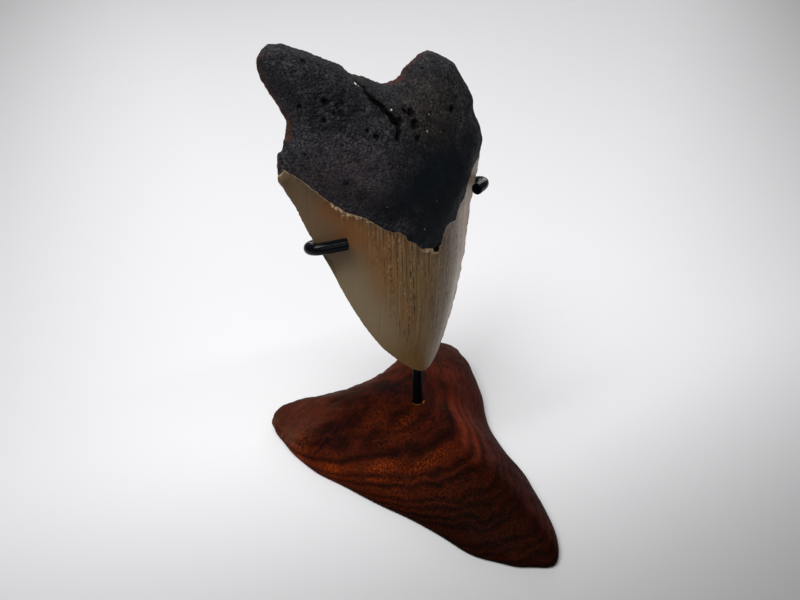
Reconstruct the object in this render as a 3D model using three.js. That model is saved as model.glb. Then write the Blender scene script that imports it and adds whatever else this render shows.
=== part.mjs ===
// A fossil megalodon tooth standing point down in a bent rod stand on a carved wooden base.
// Units are millimetres and +Z is up. The tooth's front faces -Y.
// The origin is on the underside of the base, straight below the foot of the post.

import * as THREE from "three";
import { mergeVertices } from "three/addons/utils/BufferGeometryUtils.js";

// The tooth, drawn in its own plane: x to the right and z up from its point, as seen from the front.
const TOOTH = {
  point: [-1.6, -6.8, 41.2], // where its point is, in the object's frame
  leanBack: THREE.MathUtils.degToRad(16),
  crownRise: 15, // height of the front of the crown's midline over the plane of its edges, far from the point
  crownRamp: 32, // distance over which that height builds up from the point
  crownRidge: 0.55, // where the midline lies, as a share of the width from the left edge
  crownRoundness: 0.4, // width of the rounded top of the crown's section, as a share of its half width
  crownBack: 3.2, // the same height for the flatter back
  backRamp: 25,
  rootRise: 10.5, // front of the root over the plane of the edges, out on its lobes
  rootBulge: 7.5, // how much more it rises over its middle
  rootBulgeAt: [-3, 84],
  rootBulgeReach: [26, 28],
  rootBack: 5.5,
  rootRounding: 12, // width of the rounded border of the root
  borderTurn: 9, // distance over which crown turns to root
};

// The left edge runs from the point up to the end of the left lobe.
const LEFT_EDGE = [
  [0, 0], [-4, 1.6], [-9.6, 7], [-16.4, 15.2], [-23, 27.6], [-27.8, 39.8], [-33, 55], [-37.4, 66.5],
  [-41, 78.5], [-44.5, 88.6], [-43.3, 95.4], [-38.9, 100], [-38, 105.9], [-40.2, 114], [-43.2, 121],
  [-43.3, 127.4], [-39.8, 131.2],
];
// The right edge runs from the point up to the end of the right lobe.
const RIGHT_EDGE = [
  [0, 0], [3.2, 1.5], [8.2, 6.6], [16.2, 17.7], [22.4, 29.4], [27.4, 41.4], [31, 53.4], [35.2, 64.4],
  [39.4, 74.4], [41, 81], [39.7, 87.4], [38, 94.5], [36.3, 102], [32.6, 110], [28, 115.4], [22.8, 118.4],
];
// The top edge runs from the left lobe to the right lobe, across the notch between them.
const TOP_EDGE = [
  [-39.8, 131.2], [-35, 130.8], [-27, 127.3], [-17, 121.9], [-7, 114.9], [2.5, 110.4], [8.4, 110.9],
  [14.6, 115.2], [18.6, 117.6], [22.8, 118.4],
];
// The lines where enamel ends and root begins, from the left shoulder to the right one: a V on the front,
// and a shallow arch on the back.
const FRONT_BORDER = [
  [-48, 95], [-40, 88.6], [-28, 75.4], [-19, 68.6], [-10, 61], [-3, 55], [3, 50.6], [7, 50],
  [10, 54], [18, 58.4], [24, 62.6], [29, 67.6], [33, 73], [37, 76], [44, 81],
];
const BACK_BORDER = [[-48, 94], [-38, 88], [-20, 80], [0, 77], [20, 78], [44, 84]];
// The groove that crosses the front of the root, and its size.
const GROOVE = { from: [-12.5, 116], to: [-4.5, 96], halfWidth: 2.8, depth: 0.9 };

// The base, a carved wooden tooth that lies on its flat side with its point to the front.
const BASE = {
  height: 20, // at the foot of the post
  thinEdge: 5, // height of the rim round the pointed end
  thickEdge: 12, // height of the rim between the two lobes
  socketRadius: 2.3,
  socketDepth: 15,
  footBevel: 0.8,
};
const BASE_OUTLINE = [
  [1.2, -84], [5.4, -80.6], [9.8, -74], [13.6, -65.5], [17, -55.5], [20.6, -44], [22.6, -32], [25.6, -19],
  [30, -7.4], [36.2, 2.8], [42.6, 14], [47.8, 28], [48, 38], [42.4, 46], [33, 47.5], [21, 43], [10, 37],
  [0, 34.8], [-11, 36.2], [-24, 40], [-34, 44], [-41.8, 44.9], [-47.4, 38.6], [-48.4, 25], [-45.8, 8.7],
  [-38.8, -11], [-30.8, -30], [-24.2, -50], [-16.6, -67], [-7.4, -78.4], [-2, -82.6],
];

// The stand's rods and the sleeves on its hooks.
const ROD = { postRadius: 1.85, armRadius: 1.25, sleeveBore: 1.55, sleeveRadius: 1.95, gap: 0.3, sides: 6 };
const POST = { straightTo: 41.2, bendLength: 9, upTo: 51 }; // upTo is measured up the leaning tooth
const ARM_DEPTH = 5.3; // how far behind the plane of the tooth's edges the arms run

const mix = THREE.MathUtils.lerp;
const smoothStep = THREE.MathUtils.smoothstep;

/** A smooth curve through flat points. */
function curveThrough(points, closed = false) {
  const flat = points.map(([x, z]) => new THREE.Vector3(x, z, 0));
  return new THREE.CatmullRomCurve3(flat, closed, "centripetal");
}

/** Steps from 0 to 1 that lie closer together near both ends. */
function easedSteps(count) {
  const even = (i) => i / count;
  const crowded = (i) => (1 - Math.cos((Math.PI * i) / count)) / 2;
  return Array.from({ length: count + 1 }, (_, i) => mix(even(i), crowded(i), 0.5));
}

/** Linear reading of a table of [x, y] rows. */
function readTable(rows, x) {
  const last = rows.length - 1;
  if (x <= rows[0][0]) return rows[0][1];
  for (let i = 0; i < last; i++) {
    const [x0, y0] = rows[i];
    const [x1, y1] = rows[i + 1];
    if (x <= x1) return mix(y0, y1, (x - x0) / (x1 - x0));
  }
  return rows[last][1];
}

/** Distance from a flat point to the stretch between two others. */
function distanceToStretch(point, from, to) {
  const along = to.clone().sub(from);
  const share = THREE.MathUtils.clamp(point.clone().sub(from).dot(along) / along.lengthSq(), 0, 1);
  return point.distanceTo(from.clone().addScaledVector(along, share));
}

/** How far a flat point lies over a line of points, less than zero under it. */
function heightOverLine(point, rows) {
  const corners = rows.map(([x, z]) => new THREE.Vector3(x, z, 0));
  const distances = corners.slice(1).map((corner, i) => distanceToStretch(point, corners[i], corner));
  const away = Math.min(...distances);
  return point.y < readTable(rows, point.x) ? -away : away;
}

/** A closed mesh's geometry from vertices and triangles, with shared vertices merged. */
function closedGeometry(vertices, triangles) {
  const geometry = new THREE.BufferGeometry();
  geometry.setAttribute("position", new THREE.Float32BufferAttribute(vertices.flat(), 3));
  geometry.setIndex(triangles.flat());
  const merged = mergeVertices(geometry, 1e-3);
  merged.computeVertexNormals();
  return merged;
}

const leftEdge = curveThrough(LEFT_EDGE);
const rightEdge = curveThrough(RIGHT_EDGE);
const topEdge = curveThrough(TOP_EDGE);
const toothOutline = [
  ...leftEdge.getSpacedPoints(160),
  ...topEdge.getSpacedPoints(90),
  ...rightEdge.getSpacedPoints(150),
];

/** A point inside the tooth's outline: u runs from left edge to right edge, v from the point to the top. */
function outlinePoint(u, v) {
  const side = leftEdge.getPointAt(v).multiplyScalar(1 - u).addScaledVector(rightEdge.getPointAt(v), u);
  const corners = leftEdge.getPointAt(1).multiplyScalar(1 - u).addScaledVector(rightEdge.getPointAt(1), u);
  return side.addScaledVector(topEdge.getPointAt(u).sub(corners), v);
}

/** Heights of the tooth's front and back over the plane of its edges. */
function toothHeights(u, at) {
  const { x, y: z } = at;
  const ridge = TOOTH.crownRidge;
  const offset = (u - ridge) / (u < ridge ? ridge : 1 - ridge);
  const round = TOOTH.crownRoundness;
  const section = 1 - (Math.hypot(offset, round) - round) / (Math.hypot(1, round) - round);
  const crownFront = TOOTH.crownRise * (1 - Math.exp(-z / TOOTH.crownRamp)) * section;
  const crownBack = TOOTH.crownBack * (1 - Math.exp(-z / TOOTH.backRamp)) * (1 - offset ** 2);

  const inset = Math.min(...toothOutline.map((p) => p.distanceTo(at)));
  const border = Math.sqrt(1 - (1 - Math.min(inset / TOOTH.rootRounding, 1)) ** 2);
  const bulgeX = (x - TOOTH.rootBulgeAt[0]) / TOOTH.rootBulgeReach[0];
  const bulgeZ = (z - TOOTH.rootBulgeAt[1]) / TOOTH.rootBulgeReach[1];
  const bulge = TOOTH.rootBulge * Math.exp(-(bulgeX ** 2) - bulgeZ ** 2);
  const grooveFrom = new THREE.Vector3(...GROOVE.from, 0);
  const grooveTo = new THREE.Vector3(...GROOVE.to, 0);
  const offGroove = distanceToStretch(at, grooveFrom, grooveTo) / GROOVE.halfWidth;
  const groove = GROOVE.depth * Math.exp(-(offGroove ** 2));
  const rootFront = (TOOTH.rootRise + bulge - groove) * border;
  const rootBack = TOOTH.rootBack * border;

  const frontShare = smoothStep(heightOverLine(at, FRONT_BORDER), 0, TOOTH.borderTurn);
  const backShare = smoothStep(heightOverLine(at, BACK_BORDER), 0, TOOTH.borderTurn);
  return [mix(crownFront, rootFront, frontShare), mix(crownBack, rootBack, backShare)];
}

/** The tooth: a front and a back skin over one grid, joined along the outline. */
function toothGeometry(columns = 26, rows = 29) {
  const across = easedSteps(columns);
  const along = easedSteps(rows);
  const vertices = [];
  const index = { front: [], back: [] };
  along.forEach((v, j) => {
    index.front.push([]);
    index.back.push([]);
    across.forEach((u, i) => {
      const onOutline = i === 0 || i === columns || j === 0 || j === rows;
      const at = outlinePoint(u, v);
      const [front, back] = onOutline ? [0, 0] : toothHeights(u, at);
      index.front[j].push(vertices.push([at.x, -front, at.y]) - 1);
      index.back[j].push(onOutline ? index.front[j][i] : vertices.push([at.x, back, at.y]) - 1);
    });
  });
  const triangles = [];
  for (const [side, rowsOf] of Object.entries(index)) {
    for (let j = 0; j < rows; j++) {
      for (let i = 0; i < columns; i++) {
        const [a, b] = [rowsOf[j][i], rowsOf[j][i + 1]];
        const [d, c] = [rowsOf[j + 1][i], rowsOf[j + 1][i + 1]];
        // Each diagonal starts at the outline's corner, so no triangle has all its corners on the outline.
        const halves = i < columns / 2 ? [[a, b, d], [b, c, d]] : [[a, b, c], [a, c, d]];
        if (j === 0) halves.shift();
        triangles.push(...halves.map(([p, q, r]) => (side === "front" ? [p, q, r] : [p, r, q])));
      }
    }
  }
  return closedGeometry(vertices, triangles);
}

/** Height of the base's rim at a place on its outline: thick between the lobes and thin round the point. */
function rimHeight({ x, y }) {
  const rootward = smoothStep(y, -25, 34);
  const notchward = Math.exp(-((x / 30) ** 2));
  return mix(BASE.thinEdge, mix(BASE.thinEdge + 2, BASE.thickEdge, notchward), rootward);
}

/** The base: rings of vertices from the middle of its underside, round the outline, to its socket's floor. */
function baseGeometry(spokes = 72) {
  const outline = curveThrough(BASE_OUTLINE, true).getSpacedPoints(spokes).slice(0, spokes);
  const { height, footBevel, socketRadius, socketDepth } = BASE;
  const topSteps = [0.985, 0.95, 0.89, 0.8, 0.69, 0.56, 0.42, 0.28, 0.15];
  const ring = (place) => outline.map(place);
  const shrunk = (p, share, z) => [p.x * share, p.y * share, z];
  const round = (p, radius, z) => {
    const scale = radius / Math.hypot(p.x, p.y);
    return [p.x * scale, p.y * scale, z];
  };
  const domed = (p, share) => {
    const rim = rimHeight(p);
    const rise = 1 - share ** 2.1;
    const corner = Math.sqrt(1 - ((share - 0.5) / 0.5) ** 8 || 0);
    return shrunk(p, share, rim * (share > 0.5 ? 0.55 + 0.45 * corner : 1) + (height - rim) * rise);
  };
  const rings = [
    ring((p) => shrunk(p, 1 - footBevel / 45, 0)),
    ring((p) => shrunk(p, 1, footBevel)),
    ring((p) => shrunk(p, 1, rimHeight(p) * 0.55)),
    ...topSteps.map((share) => ring((p) => domed(p, share))),
    ring((p) => round(p, socketRadius, height)),
    ring((p) => round(p, socketRadius, height - socketDepth)),
  ];
  const vertices = rings.flat();
  const under = vertices.push([0, 0, 0]) - 1;
  const floor = vertices.push([0, 0, height - socketDepth]) - 1;
  const triangles = [];
  for (let k = 0; k < spokes; k++) {
    const next = (k + 1) % spokes;
    triangles.push([under, next, k]);
    for (let r = 0; r < rings.length - 1; r++) {
      const [a, b] = [r * spokes + k, r * spokes + next];
      const [d, c] = [a + spokes, b + spokes];
      triangles.push([a, b, c], [a, c, d]);
    }
    const last = (rings.length - 1) * spokes;
    triangles.push([last + k, last + next, floor]);
  }
  return closedGeometry(vertices, triangles);
}

/** A round rod, or a tube when it has a bore, along a curve. */
function rodGeometry(path, radius, steps, bore = 0) {
  const section = new THREE.Shape().absarc(0, 0, radius, 0, 2 * Math.PI, false);
  if (bore) section.holes.push(new THREE.Path().absarc(0, 0, bore, 0, 2 * Math.PI, true));
  const options = { steps, curveSegments: ROD.sides, extrudePath: path, bevelEnabled: false };
  return new THREE.ExtrudeGeometry(section, options);
}

/** The arms' centre line in the tooth's frame, from the left hook's tip round the back to the right one. */
function armCurve() {
  const points = [
    [-27, -6.5, 61.1], [-30.4, -5.2, 61.2], [-34, -3.9, 61.3], [-36.9, -2.2, 61.4], [-37.8, 0.8, 61.4],
    [-36, 3.6, 61.2], [-32, 4.9, 60.6], [-20, ARM_DEPTH, 56.6], [-8, ARM_DEPTH, 53.4], [0, ARM_DEPTH, 52.6],
    [8, ARM_DEPTH, 53.6], [20, ARM_DEPTH, 57.8], [32.4, 4.9, 64.2], [36.6, 3.6, 65.4], [38.8, 0.8, 65.9],
    [38.3, -2.4, 66], [36, -4.8, 65.9], [33.6, -6.2, 65.8], [31.2, -7.3, 65.7],
  ];
  const curve = new THREE.CatmullRomCurve3(points.map((p) => new THREE.Vector3(...p)), false, "centripetal");
  curve.arcLengthDivisions = 800;
  return curve;
}

/** The stretch of a curve between two shares of its length. */
function stretchOf(curve, from, to, count) {
  const points = Array.from({ length: count + 1 }, (_, i) => curve.getPointAt(mix(from, to, i / count)));
  return new THREE.CatmullRomCurve3(points, false, "centripetal");
}

/** The post's centre line: straight up out of the base, then bent back along the leaning tooth. */
function postCurve() {
  const lean = TOOTH.leanBack;
  const foot = new THREE.Vector3(0, 0, BASE.height - BASE.socketDepth + ROD.gap);
  const corner = new THREE.Vector3(0, 0, POST.straightTo + POST.bendLength / 2);
  const slope = new THREE.Vector3(0, Math.sin(lean), Math.cos(lean));
  const point = new THREE.Vector3(...TOOTH.point);
  const reach = POST.upTo - corner.clone().sub(point).dot(slope);
  const bendStart = new THREE.Vector3(0, 0, POST.straightTo);
  const bendEnd = corner.clone().addScaledVector(slope, POST.bendLength / 2);
  const path = new THREE.CurvePath();
  path.add(new THREE.LineCurve3(foot, bendStart));
  path.add(new THREE.QuadraticBezierCurve3(bendStart, corner, bendEnd));
  path.add(new THREE.LineCurve3(bendEnd, corner.clone().addScaledVector(slope, reach)));
  return path;
}

const MATERIALS = {
  fossil: new THREE.MeshStandardMaterial({ color: 0x6b5a48, roughness: 0.55, metalness: 0 }),
  wood: new THREE.MeshStandardMaterial({ color: 0x55200f, roughness: 0.5, metalness: 0 }),
  steel: new THREE.MeshStandardMaterial({ color: 0x0c0c0e, roughness: 0.4, metalness: 0.3 }),
  sleeve: new THREE.MeshStandardMaterial({ color: 0x08080a, roughness: 0.2, metalness: 0 }),
};

/** A named mesh. */
function piece(name, geometry, material) {
  const mesh = new THREE.Mesh(geometry, material);
  mesh.name = name;
  return mesh;
}

/** A sleeve over the stretch of the arms between two shares of their length. */
function sleeveGeometry(from, to) {
  return rodGeometry(stretchOf(arms, from, to, 16), ROD.sleeveRadius, 18, ROD.sleeveBore);
}

const arms = armCurve();
const leaning = new THREE.Group();
leaning.position.set(...TOOTH.point);
leaning.rotation.x = -TOOTH.leanBack;
leaning.add(
  piece("tooth", toothGeometry(), MATERIALS.fossil),
  piece("cross_arm", rodGeometry(arms, ROD.armRadius, 64), MATERIALS.steel),
  piece("left_sleeve", sleeveGeometry(0, 0.17), MATERIALS.sleeve),
  piece("right_sleeve", sleeveGeometry(0.83, 1), MATERIALS.sleeve),
);

const display = new THREE.Group();
display.add(
  piece("base", baseGeometry(), MATERIALS.wood),
  piece("post", rodGeometry(postCurve(), ROD.postRadius, 30), MATERIALS.steel),
  leaning,
);

export default display;
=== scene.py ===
"""The looks of a fossil megalodon tooth, held point down in a rod stand on a carved hardwood base."""

import logging
import math
from contextlib import contextmanager
from dataclasses import dataclass, field
from enum import Enum
from typing import Iterator, Sequence

import bpy
import numpy as np
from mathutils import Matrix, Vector


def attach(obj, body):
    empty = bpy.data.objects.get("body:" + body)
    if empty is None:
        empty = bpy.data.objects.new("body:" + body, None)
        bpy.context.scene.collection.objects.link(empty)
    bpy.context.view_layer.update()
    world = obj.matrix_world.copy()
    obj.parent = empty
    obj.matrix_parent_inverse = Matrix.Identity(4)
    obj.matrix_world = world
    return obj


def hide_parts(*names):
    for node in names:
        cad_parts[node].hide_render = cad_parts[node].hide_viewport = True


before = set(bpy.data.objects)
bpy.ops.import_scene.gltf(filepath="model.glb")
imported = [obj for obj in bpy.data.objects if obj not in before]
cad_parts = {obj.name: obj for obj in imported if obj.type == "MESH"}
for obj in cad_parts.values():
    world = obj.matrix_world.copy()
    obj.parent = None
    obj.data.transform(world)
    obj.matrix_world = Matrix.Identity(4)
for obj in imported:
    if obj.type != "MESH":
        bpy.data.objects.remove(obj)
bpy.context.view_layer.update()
LOG = logging.getLogger("fossil_tooth")
MM = 0.001
Point2 = tuple[float, float]
Colour = tuple[float, float, float]


def tone(red: int, green: int, blue: int) -> Colour:
    """Turns a display colour of 0 to 255 into the linear one that shaders take.

    Args:
        red: The red share.
        green: The green share.
        blue: The blue share.

    Returns:
        The linear red, green and blue.
    """
    shares = (channel / 255 for channel in (red, green, blue))
    return tuple(s / 12.92 if s <= 0.04045 else ((s + 0.055) / 1.055) ** 2.4 for s in shares)


# Shader maths


class Value:
    """A socket that carries a number or a vector, with Python's operators on numbers."""

    def __init__(self, tree: bpy.types.NodeTree, socket: bpy.types.NodeSocket) -> None:
        """Wraps a socket of a tree."""
        self.tree = tree
        self.socket = socket

    def math(self, operation: str, *terms: "Value | float") -> "Value":
        """Adds a Math node.

        Args:
            operation: The node's operation.
            *terms: Its inputs, in order.

        Returns:
            The node's output.
        """
        node = self.tree.nodes.new("ShaderNodeMath")
        node.operation = operation
        for socket, term in zip(node.inputs, terms):
            connect(self.tree, socket, term)
        return Value(self.tree, node.outputs[0])

    def __add__(self, other: "Value | float") -> "Value":
        """Sum."""
        return self.math("ADD", self, other)

    def __radd__(self, other: float) -> "Value":
        """Sum with a number on the left."""
        return self.math("ADD", other, self)

    def __sub__(self, other: "Value | float") -> "Value":
        """Difference."""
        return self.math("SUBTRACT", self, other)

    def __rsub__(self, other: float) -> "Value":
        """Difference from a number on the left."""
        return self.math("SUBTRACT", other, self)

    def __mul__(self, other: "Value | float") -> "Value":
        """Product."""
        return self.math("MULTIPLY", self, other)

    def __rmul__(self, other: float) -> "Value":
        """Product with a number on the left."""
        return self.math("MULTIPLY", other, self)

    def __truediv__(self, other: "Value | float") -> "Value":
        """Quotient."""
        return self.math("DIVIDE", self, other)

    def __rtruediv__(self, other: float) -> "Value":
        """Quotient of a number on the left."""
        return self.math("DIVIDE", other, self)

    def __pow__(self, other: "Value | float") -> "Value":
        """Power."""
        return self.math("POWER", self, other)

    def __neg__(self) -> "Value":
        """The number with its sign turned."""
        return self.math("MULTIPLY", self, -1.0)

    def __abs__(self) -> "Value":
        """The number without its sign."""
        return self.math("ABSOLUTE", self)

    def rise(self, low: float, high: float) -> "Value":
        """Smooth step.

        Args:
            low: Where the step is still 0.
            high: Where it reaches 1. It may be the smaller of the two, for a falling step.

        Returns:
            A number from 0 to 1.
        """
        if high < low:
            return 1.0 - self.rise(high, low)
        node = self.tree.nodes.new("ShaderNodeMapRange")
        node.interpolation_type = "SMOOTHSTEP"
        connect(self.tree, node.inputs["Value"], self)
        node.inputs["From Min"].default_value = low
        node.inputs["From Max"].default_value = high
        return Value(self.tree, node.outputs["Result"])


def connect(tree: bpy.types.NodeTree, socket: bpy.types.NodeSocket, value: "Value | float | Sequence[float]") -> None:
    """Links a value into a socket, or sets a plain number, vector or colour there."""
    if isinstance(value, Value):
        tree.links.new(value.socket, socket)
    elif isinstance(value, (int, float)):
        socket.default_value = value
    else:
        wanted = len(socket.default_value)
        socket.default_value = [*value, 1.0][:wanted] if len(value) < wanted else value


class Shader:
    """The node tree of one finish, which ends in one Principled shader or a mix of two."""

    def __init__(self, name: str) -> None:
        """Makes an empty material of that name with its output."""
        self.material = bpy.data.materials.new(name)
        self.material.use_nodes = True
        self.tree = self.material.node_tree
        self.tree.nodes.clear()
        self.output = self.tree.nodes.new("ShaderNodeOutputMaterial")

    def node(self, kind: str, inputs: dict, output: int | str = 0, **settings: object) -> Value:
        """Adds any node.

        Args:
            kind: The node's type.
            inputs: Its input sockets, by name or number, each with a value or a constant.
            output: The output wanted, by name or number.
            **settings: Settings of the node, made before its sockets are read. stops is a ramp's.

        Returns:
            The output.
        """
        node = self.tree.nodes.new(kind)
        for setting, value in settings.items():
            if setting == "stops":
                ramp = node.color_ramp.elements
                while len(ramp) < len(value):
                    ramp.new(1.0)
                for element, (position, colour) in zip(ramp, value):
                    element.position = position
                    element.color = (*colour, 1.0)
            else:
                setattr(node, setting, value)
        for key, value in inputs.items():
            connect(self.tree, node.inputs[key], value)
        return Value(self.tree, node.outputs[output])

    def surface(self, **sockets: "Value | float | Sequence[float]") -> Value:
        """Adds a Principled shader.

        Args:
            **sockets: Values by socket name, with underscores for spaces.

        Returns:
            Its output.
        """
        inputs = {name.replace("_", " "): value for name, value in sockets.items()}
        return self.node("ShaderNodeBsdfPrincipled", inputs)

    def finish(self, surface: Value) -> bpy.types.Material:
        """Makes a surface the material's look, and returns the material."""
        connect(self.tree, self.output.inputs["Surface"], surface)
        return self.material

    def position(self) -> Value:
        """The place on the object, in millimetres."""
        place = self.node("ShaderNodeTexCoord", {}, "Object")
        return self.node("ShaderNodeVectorMath", {0: place, "Scale": 1 / MM}, operation="SCALE")

    def attribute(self, name: str, output: str = "Fac") -> Value:
        """A value stored on the mesh under that name."""
        return self.node("ShaderNodeAttribute", {}, output, attribute_name=name)

    def parts(self, vector: Value) -> tuple[Value, Value, Value]:
        """The three numbers of a vector."""
        node = self.tree.nodes.new("ShaderNodeSeparateXYZ")
        connect(self.tree, node.inputs[0], vector)
        return tuple(Value(self.tree, socket) for socket in node.outputs)

    def stretched(self, vector: Value, factors: Sequence[float]) -> Value:
        """A vector whose three numbers are multiplied by three factors."""
        return self.node("ShaderNodeVectorMath", {0: vector, 1: factors}, operation="MULTIPLY")

    def moved(self, vector: Value, by: Sequence[float]) -> Value:
        """A vector with another one added."""
        return self.node("ShaderNodeVectorMath", {0: vector, 1: by}, operation="ADD")

    def noise(self, place: Value, size: float, detail: float = 3.0, roughness: float = 0.55, bend: float = 0.0) -> Value:
        """Smooth noise.

        Args:
            place: Where it is read, in millimetres.
            size: Its largest patches, in millimetres.
            detail: How many finer layers it has.
            roughness: How strong they are.
            bend: How far it is warped.

        Returns:
            A number round 0.5.
        """
        inputs = {"Vector": place, "Scale": 1 / size, "Detail": detail, "Roughness": roughness, "Distortion": bend}
        return self.node("ShaderNodeTexNoise", inputs, "Fac")

    def cells(self, place: Value, size: float, output: str = "Distance", scatter: float = 1.0) -> Value:
        """Cells of that size in millimetres: distance to each one's middle, or its random colour."""
        inputs = {"Vector": place, "Scale": 1 / size, "Randomness": scatter}
        return self.node("ShaderNodeTexVoronoi", inputs, output)

    def blend(self, first: "Value | Colour", second: "Value | Colour", share: "Value | float", how: str = "MIX") -> Value:
        """Mixes two colours.

        Args:
            first: The colour under.
            second: The colour over it.
            share: How much of the second, from 0 to 1.
            how: The Mix node's blend type.

        Returns:
            The mixed colour.
        """
        node = self.tree.nodes.new("ShaderNodeMix")
        node.data_type = "RGBA"
        node.blend_type = how
        connect(self.tree, node.inputs[0], share)
        connect(self.tree, node.inputs[6], first)
        connect(self.tree, node.inputs[7], second)
        return Value(self.tree, node.outputs[2])

    def bump(self, height: Value, depth: float) -> Value:
        """A normal from heights of 0 to 1 over that depth in millimetres."""
        return self.node("ShaderNodeBump", {"Strength": 1.0, "Distance": depth * MM, "Height": height}, "Normal")


# Sculpting in numbers


class Grain:
    """Seeded smooth noise and scattered pits over points in millimetres."""

    def __init__(self, seed: int) -> None:
        """Draws the tables that the noise reads."""
        dice = np.random.default_rng(seed)
        self.order = dice.permutation(256)
        slopes = dice.normal(size=(256, 3))
        self.slopes = slopes / np.linalg.norm(slopes, axis=1, keepdims=True)
        self.scatter = dice.random((256, 4))

    def _ticket(self, cell: np.ndarray) -> np.ndarray:
        """A table row for each whole-numbered cell."""
        x, y, z = (cell[:, i] & 255 for i in range(3))
        return self.order[(self.order[(self.order[x] + y) & 255] + z) & 255]

    def smooth(self, points: np.ndarray, size: float) -> np.ndarray:
        """Gradient noise.

        Args:
            points: Places, in millimetres.
            size: Distance between its lumps, in millimetres.

        Returns:
            A number for each place, from about -1 to 1.
        """
        scaled = points / size
        cell = np.floor(scaled).astype(int)
        inside = scaled - cell
        fade = inside**3 * (inside * (inside * 6 - 15) + 10)
        total = np.zeros(len(points))
        for corner in np.ndindex(2, 2, 2):
            offset = np.array(corner)
            slope = self.slopes[self._ticket(cell + offset)]
            weight = np.prod(np.where(offset, fade, 1 - fade), axis=1)
            total += weight * np.einsum("ij,ij->i", inside - offset, slope)
        return total * 1.7

    def layers(self, points: np.ndarray, size: float, count: int) -> np.ndarray:
        """Noise of that size with finer, weaker layers over it."""
        return sum(self.smooth(points + 31.7 * i, size / 2**i) / 2**i for i in range(count))

    def pits(self, points: np.ndarray, spacing: float, radius: tuple[float, float], chance: float) -> np.ndarray:
        """Round hollows scattered in space.

        Args:
            points: Places, in millimetres.
            spacing: Distance between the cells that may hold a pit.
            radius: Its smallest and largest radius, in millimetres.
            chance: The share of cells that hold one.

        Returns:
            For each place 0 outside all pits, up to 1 in the middle of one.
        """
        cell = np.floor(points / spacing).astype(int)
        deepest = np.zeros(len(points))
        for step in np.ndindex(3, 3, 3):
            near = cell + np.array(step) - 1
            draw = self.scatter[self._ticket(near)]
            reach = radius[0] + (radius[1] - radius[0]) * (draw[:, 3] / chance) ** 2
            away = np.linalg.norm(points - (near + draw[:, :3]) * spacing, axis=1)
            depth = np.where(draw[:, 3] < chance, np.clip(1 - (away / reach) ** 2, 0, 1), 0)
            deepest = np.maximum(deepest, depth)
        return deepest


def step(low: float, high: float, x: np.ndarray) -> np.ndarray:
    """Smooth step from 0 at low to 1 at high."""
    t = np.clip((x - low) / (high - low), 0, 1)
    return t * t * (3 - 2 * t)


def away_from(places: np.ndarray, ends: np.ndarray) -> np.ndarray:
    """Distance from flat places to the nearest of many stretches.

    Args:
        places: Flat places, one a row.
        ends: The stretches, each with its two ends.

    Returns:
        The distance for each place.
    """
    nearest = np.full(len(places), 1e9)
    for start, end in ends:
        along = end - start
        share = np.clip((places - start) @ along / max(along @ along, 1e-12), 0, 1)
        nearest = np.minimum(nearest, np.linalg.norm(places - start - share[:, None] * along, axis=1))
    return nearest


def stretches(line: Sequence[Point2]) -> np.ndarray:
    """The stretches between the points of a line."""
    corners = np.array(line, float)
    return np.stack([corners[:-1], corners[1:]], axis=1)


def is_over(places: np.ndarray, line: Sequence[Point2]) -> np.ndarray:
    """Whether flat places lie over a line that runs from left to right and may double back."""
    corners = np.array([*line, (90, line[-1][1]), (90, 300), (-90, 300), (-90, line[0][1]), line[0]], float)
    inside = np.zeros(len(places), bool)
    x, y = places.T
    for (x0, y0), (x1, y1) in zip(corners[:-1], corners[1:]):
        if y0 != y1:
            crossing = (x1 - x0) * (y - y0) / (y1 - y0) + x0
            inside ^= ((y0 > y) != (y1 > y)) & (x < crossing)
    return inside


# Meshes


@contextmanager
def editing(piece: bpy.types.Object) -> Iterator[None]:
    """Edit mode on one piece alone, with all of it selected."""
    bpy.ops.object.select_all(action="DESELECT")
    piece.select_set(True)
    bpy.context.view_layer.objects.active = piece
    bpy.ops.object.mode_set(mode="EDIT")
    bpy.ops.mesh.select_all(action="SELECT")
    yield
    bpy.ops.object.mode_set(mode="OBJECT")


def copy_of(node: str, name: str) -> bpy.types.Object:
    """Copies a solid's mesh into a new object, as connected quads.

    Args:
        node: The solid's name.
        name: The new object's name.

    Returns:
        The new object.
    """
    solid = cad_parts[node]
    piece = bpy.data.objects.new(name, solid.data.copy())
    bpy.context.collection.objects.link(piece)
    piece.data.materials.clear()
    with editing(piece):
        bpy.ops.mesh.customdata_custom_splitnormals_clear()
        bpy.ops.mesh.remove_doubles(threshold=0.01 * MM)
        bpy.ops.mesh.tris_convert_to_quads(face_threshold=math.radians(80), shape_threshold=math.radians(80))
    return piece


def refine(piece: bpy.types.Object, levels: int) -> None:
    """Applies a Subdivision Surface of that many levels."""
    modifier = piece.modifiers.new("refine", "SUBSURF")
    modifier.levels = modifier.render_levels = levels
    bpy.ops.object.select_all(action="DESELECT")
    bpy.context.view_layer.objects.active = piece
    bpy.ops.object.modifier_apply(modifier="refine")


def places_of(piece: bpy.types.Object) -> tuple[np.ndarray, np.ndarray]:
    """The places, in millimetres, and the outward normals of a piece's vertices."""
    count = len(piece.data.vertices)
    places, normals = np.empty(count * 3), np.empty(count * 3)
    piece.data.vertices.foreach_get("co", places)
    piece.data.vertices.foreach_get("normal", normals)
    return places.reshape(-1, 3) / MM, normals.reshape(-1, 3)


def set_places(piece: bpy.types.Object, places: np.ndarray) -> None:
    """Puts a piece's vertices at places in millimetres."""
    piece.data.vertices.foreach_set("co", (places * MM).ravel())
    piece.data.update()


def keep(piece: bpy.types.Object, name: str, values: np.ndarray) -> None:
    """Stores a number or a vector for each vertex, for the finish to read."""
    vectors = values.ndim == 2
    stored = piece.data.attributes.new(name, "FLOAT_VECTOR" if vectors else "FLOAT", "POINT")
    stored.data.foreach_set("vector" if vectors else "value", values.astype(np.float32).ravel())


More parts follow.
